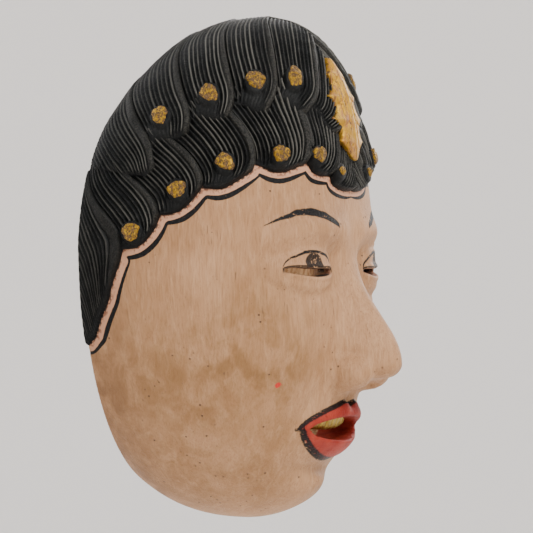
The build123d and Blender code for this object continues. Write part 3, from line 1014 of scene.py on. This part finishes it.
    def finish(self, roughness, bump, metallic=None):
        self.feed(self.shader.inputs["Base Color"], self.colour)
        self.feed(self.shader.inputs["Roughness"], roughness)
        if metallic is not None:
            self.feed(self.shader.inputs["Metallic"], metallic)
        above = self.shader.inputs["Normal"]
        for height, distance in reversed(bump):
            node = self.node("Bump")
            node.inputs["Strength"].default_value = 1.0
            node.inputs["Distance"].default_value = distance * MM
            self.tree.links.new(height, node.inputs["Height"])
            self.tree.links.new(node.outputs["Normal"], above)
            above = node.inputs["Normal"]
        return self.material


def painted_wood():
    """Cream paint with its dirt, the painted features, painted shade along the foot of the hair and in the
    eye slits, and bare wood in the hollow.
    """
    m = Paint("painted_wood")
    broad = m.noise((24, 24, 30), 4)
    patch = m.noise((9, 9, 13), 5, 0.6, 0.6)
    brush = m.noise((0.6, 0.6, 5.5), 4, 0.6, 0.5)
    brush_wide = m.noise((2.6, 2.6, 15), 4, 0.6, 0.8, shift=5.0)
    speckle = m.noise((0.7, 0.7, 0.9), 3, 0.6, shift=9.0)

    m.colour = m.mix(m.ease(broad, 0.32, 0.68), (0.315, 0.165, 0.078), (0.40, 0.222, 0.116))
    m.lay((0.50, 0.300, 0.165), m.ease(brush_wide, 0.42, 0.72), 0.45)
    m.lay((0.19, 0.088, 0.036), m.ease(brush, 0.56, 0.34), 0.32)
    cheek = m.ease(m.gap(45, 0, -36, scale=(1.0, 0, 0.75)), 30, 8)
    jaw = m.mul(m.ease(m.z, -40, -78), m.ease(m.a, 4, 30))
    rim = m.ease(m.depth, 26, 2)
    stain = m.math("MAXIMUM", m.mul(cheek, 0.75), m.mul(jaw, 0.5))
    stain = m.mul(stain, m.ease(patch, 0.36, 0.64, 0.22, 1.0))
    m.lay((0.165, 0.078, 0.022), stain, 0.9)
    m.lay((0.15, 0.072, 0.032), m.mul(rim, m.ease(patch, 0.30, 0.62, 0.20, 0.75)))
    m.lay((0.17, 0.085, 0.045), m.ease(speckle, 0.66, 0.74), 0.55)
    pit = m.mul(m.ease(m.cells(3.4), 0.14, 0.07), m.ease(m.noise((14, 14, 14), 2, shift=3.0), 0.50, 0.60))
    m.lay((0.07, 0.04, 0.03), pit, 0.8)
    thin = m.ease(m.noise((0.45, 0.45, 9), 2, 0.5, 0.3, 14.0), 0.69, 0.73)
    scratch = m.mul(thin, m.ease(m.noise((11, 11, 11), 1, shift=7.0), 0.52, 0.62))
    m.lay((0.16, 0.09, 0.06), scratch, 0.7)
    from_fleck = m.add(m.gap(37, 0, -44, scale=(1, 0, 1)), m.mul(speckle, 2.0))
    fleck = m.mul(m.ease(from_fleck, 2.2, 1.7), m.ease(m.x, 0, -1))
    m.lay((0.45, 0.03, 0.02), fleck)

    # lips: red, rimmed with black along their outer border
    lips = m.add(m.attribute("lips"), m.swing(speckle, 0.4))
    red = m.mix(m.ease(patch, 0.35, 0.65), (0.20, 0.016, 0.010), (0.30, 0.036, 0.020))
    m.lay(red, m.ease(lips, -0.1, 0.25))
    lip_rim = m.ease(m.apart(lips, 0.15), 0.95, 0.5)

    # flesh band under the hair with its cut marks, painted shade along the foot of the hair, then the painted
    # contour
    hair_gap = m.add(m.attribute("hair_gap"), m.swing(speckle, 0.7))
    band = m.ease(hair_gap, 3.9, 3.0)
    m.lay((0.55, 0.285, 0.18), band, 0.65)
    cuts = m.mul(m.ease(hair_gap, 2.3, 0.6), m.ease(m.noise((1.3, 1.3, 1.3), 2, shift=2.0), 0.52, 0.62))
    m.lay((0.16, 0.06, 0.035), cuts, 0.85)
    # painted shade: a near-black line along the foot of the hair, where it meets the face
    m.lay((0.02, 0.015, 0.013), m.ease(hair_gap, 0.75, 0.35), 0.9)
    off_line = m.apart(m.attribute("hair_gap"), CONTOUR_GAP)
    rough_edge = m.swing(m.noise((1.8, 1.8, 1.8), 2), 0.35)
    contour = m.ease(m.add(m.sub(m.attribute("stroke"), off_line), rough_edge), -0.10, 0.14)

    # brows and eyes in brush strokes
    wobble = m.swing(m.noise((4, 4, 4), 3, shift=11.0), 0.9)
    front = m.ease(m.depth, 34, 40)
    brow = m.stroke(
        m.a, m.z, 13.5, 46,
        ((13.5, 15.0), (18, 17.2), (24, 19.2), (31, 20.0), (38, 18.4), (46, 14.6)),
        ((13.5, 0.6), (18, 1.35), (24, 1.5), (31, 1.3), (38, 0.8), (46, 0.12)),
        wobble,
    )
    lid = m.stroke(
        m.a, m.z, 14.5, 41.5,
        ((14.5, -1.2), (18, 2.4), (23, 4.7), (28, 5.4), (34, 4.5), (41.5, -0.6)),
        ((14.5, 0.3), (18, 0.5), (23, 0.6), (28, 0.6), (34, 0.5), (41.5, 0.15)),
        wobble,
    )
    slit = m.attribute("slit")
    under_lid = m.mul(m.ease(m.apart(slit, 0.75), 0.50, 0.22), m.ease(m.z, -3.2, -1.6))
    iris = m.mul(m.ease(m.gap(EYE_X, 0, 0.4, scale=(1, 0, 1)), 4.9, 4.4), m.ease(m.z, -0.9, -0.5))
    worn = m.ease(m.noise((1.5, 1.5, 1.1), 3, 0.6, shift=21.0), 0.30, 0.42)
    eye = m.mul(m.most(lid, m.mul(under_lid, 0.9), m.mul(iris, 0.95)), worn)
    brow = m.mul(brow, m.ease(worn, 0, 0.6))
    ink = m.most(contour, m.mul(lip_rim, m.mul(worn, 0.97)), m.mul(front, m.most(brow, eye)))
    black = m.mix(m.ease(speckle, 0.4, 0.7), (0.003, 0.003, 0.0035), (0.009, 0.0075, 0.007))
    m.lay(black, m.mul(ink, m.ease(speckle, 0.80, 0.70)))

    # painted shade in the slits: their cut faces are painted near black, with patches of raw wood
    cut = m.mul(m.ease(slit, 0.42, 0.12), m.ease(m.depth, 30, 34))
    m.lay(m.mix(m.ease(patch, 0.45, 0.6), (0.012, 0.010, 0.010), (0.25, 0.11, 0.06)), cut)

    # bare wood of the hollow and the rim
    grain = m.noise((1.0, 1.4, 34), 5, 0.6, 0.8, 2.0)
    rings = m.noise((5, 5, 60), 2, 0.5, 1.5, 6.0)
    wood = m.mix(m.ease(grain, 0.35, 0.68), (0.33, 0.175, 0.078), (0.60, 0.38, 0.20))
    wood = m.mix(m.mul(m.ease(rings, 0.45, 0.7), 0.5), wood, (0.26, 0.13, 0.055))
    wood = m.mix(m.mul(m.ease(patch, 0.52, 0.72), 0.5), wood, (0.16, 0.085, 0.045))
    wood = m.mix(m.mul(m.ease(speckle, 0.66, 0.75), 0.5), wood, (0.08, 0.04, 0.025))
    inner = m.ease(m.add(m.attribute("inner"), m.swing(patch, 0.8)), 0.35, 0.6)
    m.lay(wood, inner)
    # painted shade: the bare wood of the hollow round each slit is painted near black
    slit_shade_inside = m.mul(m.mul(m.ease(slit, 1.4, 0.5), m.ease(m.depth, 30, 34)), m.mul(inner, 0.93))
    m.lay((0.022, 0.012, 0.008), slit_shade_inside)

    roughness = m.ease(m.add(broad, m.mul(speckle, 0.4)), 0.4, 0.95, 0.42, 0.62)
    roughness = m.add(roughness, m.mul(inner, 0.22))
    ridges = m.add(m.mul(brush, 0.6), m.mul(brush_wide, 0.9))
    relief = m.sub(m.add(ridges, m.mul(speckle, 0.35)), m.mul(m.most(pit, scratch), 0.9))
    m.shader.inputs["Specular IOR Level"].default_value = 0.13
    return m.finish(roughness, ((relief, 0.42), (m.mul(m.mul(grain, inner), 1.0), 0.5)))


def black_hair():
    """Black paint, worn pale along the crests of the strands, with painted light that pales them more at the
    front and painted shade that blackens the low places.
    """
    m = Paint("black_hair")
    grit = m.noise((0.6, 0.6, 0.6), 4, 0.65)
    patch = m.noise((7, 7, 7), 4, 0.6)
    broad = m.noise((30, 30, 30), 2, shift=3.0)
    crest = m.add(m.attribute("crest"), m.swing(grit, 0.75))
    crest = m.ease(m.add(crest, m.swing(patch, 0.5)), 0.42, 0.92)
    band = m.mul(m.attribute("band"), m.ease(grit, 0.40, 0.62))
    knob = m.mul(m.attribute("knob"), m.ease(grit, 0.45, 0.75))
    low = m.attribute("low")
    m.colour = m.mix(m.ease(patch, 0.35, 0.7), (0.0012, 0.0015, 0.0016), (0.0040, 0.0044, 0.0042))
    # painted light: the pale crests and bands keep their full paleness at the front and fade to 0.3 of it at
    # the rim, shaded as the hair turns away from the light; broad random patches of dust vary it as well
    dust_and_front_light = m.mul(m.ease(broad, 0.35, 0.65, 0.75, 1.0), m.ease(m.depth, 2, 46, 0.30, 1.0))
    m.lay((0.100, 0.096, 0.084), m.mul(crest, dust_and_front_light), 0.95)
    m.lay((0.046, 0.043, 0.036), m.mul(band, dust_and_front_light), 0.75)
    m.lay((0.018, 0.018, 0.018), knob, 0.4)
    # painted shade: the lower the hair surface lies in its grooves and dips, and on its hidden back, the
    # blacker it is painted
    m.lay((0.0012, 0.0014, 0.0016), m.ease(low, 0.5, 2.0, 0.0, 0.9))
    bare = m.mul(m.ease(grit, 0.70, 0.76), m.ease(patch, 0.55, 0.65))
    m.lay((0.20, 0.12, 0.07), bare, 0.8)
    m.shader.inputs["Specular IOR Level"].default_value = 0.14
    roughness = m.ease(grit, 0.3, 0.7, 0.42, 0.64)
    return m.finish(roughness, ((grit, 0.22), (m.noise((1.6, 1.6, 1.6), 3), 0.25)))


def gilt(name, light, dark, amount, rough=0.42):
    """Gold with painted glints in bright specks, lost down to a dark ground where the flake noise passes
    amount.
    """
    m = Paint(name)
    flake = m.noise((1.0, 1.0, 1.25), 5, 0.65, 0.8)
    patch = m.noise((3.2, 3.2, 4.0), 4, 0.6, 0.4, 4.0)
    grit = m.noise((0.4, 0.4, 0.4), 3, 0.6, shift=8.0)
    m.colour = m.mix(m.ease(patch, 0.35, 0.65), light, dark)
    # painted highlight: bright gold specks scattered over the gilding as glints
    m.lay((0.75, 0.47, 0.06), m.ease(grit, 0.52, 0.70), 0.5)
    loss = m.ease(m.add(flake, m.swing(patch, 0.4)), amount, amount + 0.07)
    bare = m.mix(m.ease(grit, 0.45, 0.6), (0.020, 0.010, 0.006), (0.15, 0.068, 0.022))
    m.lay(bare, loss, 0.92)
    metallic = m.sub(0.85, m.mul(loss, 0.7))
    roughness = m.add(rough, m.mul(loss, 0.3))
    relief = m.sub(m.add(m.mul(grit, 0.5), patch), m.mul(loss, 0.6))
    return m.finish(roughness, ((relief, 0.5),), metallic)


def leaf_gilding():
    """Gold streaked with the red and dark ground under it."""
    m = Paint("leaf_gilding")
    streak = m.noise((1.5, 1.5, 12), 4, 0.6, 0.5)
    patch = m.noise((4, 4, 7), 4, 0.6, 0.6, 4.0)
    grit = m.noise((0.5, 0.5, 0.6), 3, 0.6, shift=8.0)
    m.colour = m.mix(m.ease(patch, 0.35, 0.65), (0.40, 0.205, 0.016), (0.52, 0.30, 0.035))
    m.lay((0.30, 0.105, 0.022), m.ease(streak, 0.49, 0.62), 0.85)
    chipped = m.ease(m.noise((1.1, 1.1, 5), 4, 0.6, 1.0, 12.0), 0.545, 0.61)
    m.lay((0.085, 0.036, 0.014), chipped, 0.9)
    metallic = m.ease(streak, 0.62, 0.48, 0.1, 0.8)
    relief = m.add(m.mul(grit, 0.5), streak)
    return m.finish(m.ease(grit, 0.3, 0.7, 0.36, 0.56), ((relief, 0.5),), metallic)


def leather():
    m = Paint("strap_leather")
    grain = m.cells(0.9)
    patch = m.noise((8, 8, 8), 4)
    crease = m.noise((1.6, 1.6, 7), 4, 0.6, 0.8)
    m.colour = m.mix(m.ease(patch, 0.35, 0.65), (0.105, 0.045, 0.018), (0.19, 0.085, 0.034))
    m.lay((0.035, 0.016, 0.009), m.ease(crease, 0.58, 0.70), 0.7)
    edge = m.ease(m.apart(m.z, STRAP_LEVEL), 4.9, 5.8)
    m.lay((0.30, 0.16, 0.075), m.mul(edge, m.ease(patch, 0.3, 0.6, 0.3, 0.9)))
    relief = m.add(m.mul(grain, 0.6), m.mul(crease, 0.8))
    return m.finish(m.ease(patch, 0.3, 0.7, 0.45, 0.68), ((relief, 0.28),))


def metal(name, colour_low, colour_high, spoiled, rough):
    m = Paint(name)
    patch = m.noise((2.2, 2.2, 2.2), 5, 0.65)
    grit = m.noise((0.35, 0.35, 0.35), 3, 0.6, shift=5.0)
    lines = m.noise((0.25, 0.25, 3.0), 2, 0.5, shift=3.0)
    m.colour = m.mix(m.ease(patch, 0.35, 0.65), colour_low, colour_high)
    loss = m.ease(m.add(patch, m.swing(grit, 0.3)), 0.58, 0.68)
    m.lay(spoiled, loss, 0.75)
    metallic = m.sub(1.0, m.mul(loss, 0.6))
    roughness = m.add(m.ease(lines, 0.35, 0.65, rough - 0.06, rough + 0.08), m.mul(loss, 0.3))
    return m.finish(roughness, ((m.add(m.mul(lines, 0.5), grit), 0.08),), metallic)


face.data.materials.append(painted_wood())
hair_paint = black_hair()
for obj in hair.values():
    obj.data.materials.append(hair_paint)
gilding.data.materials.append(gilt("curl_gold", (0.26, 0.138, 0.008), (0.43, 0.245, 0.018), 0.455))
leaf.data.materials.append(leaf_gilding())
teeth.data.materials.append(gilt("tooth_gold", (0.34, 0.235, 0.045), (0.42, 0.31, 0.08), 0.62, 0.36))
strap_band.data.materials.append(leather())
steel = metal("worn_steel", (0.36, 0.35, 0.34), (0.52, 0.51, 0.49), (0.12, 0.06, 0.035), 0.34)
brass = metal("worn_brass", (0.50, 0.34, 0.13), (0.62, 0.44, 0.19), (0.10, 0.07, 0.035), 0.32)
CARRIED = {"hanger_plate": steel, "hanger_screw": steel, "hanger_ring": steel, "strap_tacks": brass}
for node, material in CARRIED.items():
    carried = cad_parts[node]
    for slot in carried.material_slots:
        slot.material = material

# ---- stage: one pale bowl, a level floor running up into far walls ----
FLOOR = -0.62
SPOKES = 96
# radius and height in metres from the level floor up the wall
profile = ((1.2, FLOOR), (2.2, -0.60), (3.0, -0.45), (3.6, -0.05), (3.95, 0.6), (4.1, 1.6), (4.1, 3.4))
bowl_mesh = bpy.data.meshes.new("bowl")
bowl_points = [(0.0, 0.0, FLOOR)]
for radius, z_at in profile:
    for n in range(SPOKES):
        turn = 2 * math.pi * n / SPOKES
        bowl_points.append((radius * math.cos(turn), radius * math.sin(turn), z_at))
bowl_faces = fan(1, SPOKES, 0) + ring_quads(len(profile), SPOKES, 1)
bowl_mesh.from_pydata(bowl_points, [], bowl_faces)
bowl_mesh.polygons.foreach_set("use_smooth", [True] * len(bowl_faces))
bowl = bpy.data.objects.new("bowl", bowl_mesh)
bpy.context.collection.objects.link(bowl)
soften = bowl.modifiers.new("soften", "SUBSURF")
soften.levels = soften.render_levels = 2
backdrop = bpy.data.materials.new("backdrop")
backdrop.use_nodes = True
backdrop_inputs = backdrop.node_tree.nodes["Principled BSDF"].inputs
backdrop_inputs["Base Color"].default_value = (0.93, 0.90, 0.87, 1)
backdrop_inputs["Roughness"].default_value = 0.9
bowl_mesh.materials.append(backdrop)


def area_light(name, place, size, power, warmth=(1.0, 1.0, 1.0)):
    data = bpy.data.lights.new(name, "AREA")
    data.shape = "DISK"
    data.size = size
    data.energy = power
    data.color = warmth
    lamp = bpy.data.objects.new(name, data)
    bpy.context.collection.objects.link(lamp)
    lamp.location = place
    lamp.rotation_mode = "QUATERNION"
    lamp.rotation_quaternion = (Vector(place) - Vector((0, -0.04, 0))).to_track_quat("Z", "Y")


area_light("key", (-0.6, -1.45, 1.35), 0.7, 43, (1.0, 0.98, 0.95))
area_light("fill", (-1.9, -0.5, 0.7), 1.4, 6)
area_light("side", (1.8, -0.2, 0.6), 1.2, 16)
area_light("back", (-0.2, 1.8, 1.0), 1.4, 20)
world = bpy.data.worlds.new("studio")
world.use_nodes = True
sky = world.node_tree.nodes["Background"].inputs
sky["Color"].default_value = (0.90, 0.90, 0.92, 1)
sky["Strength"].default_value = 1.25
bpy.context.scene.world = world
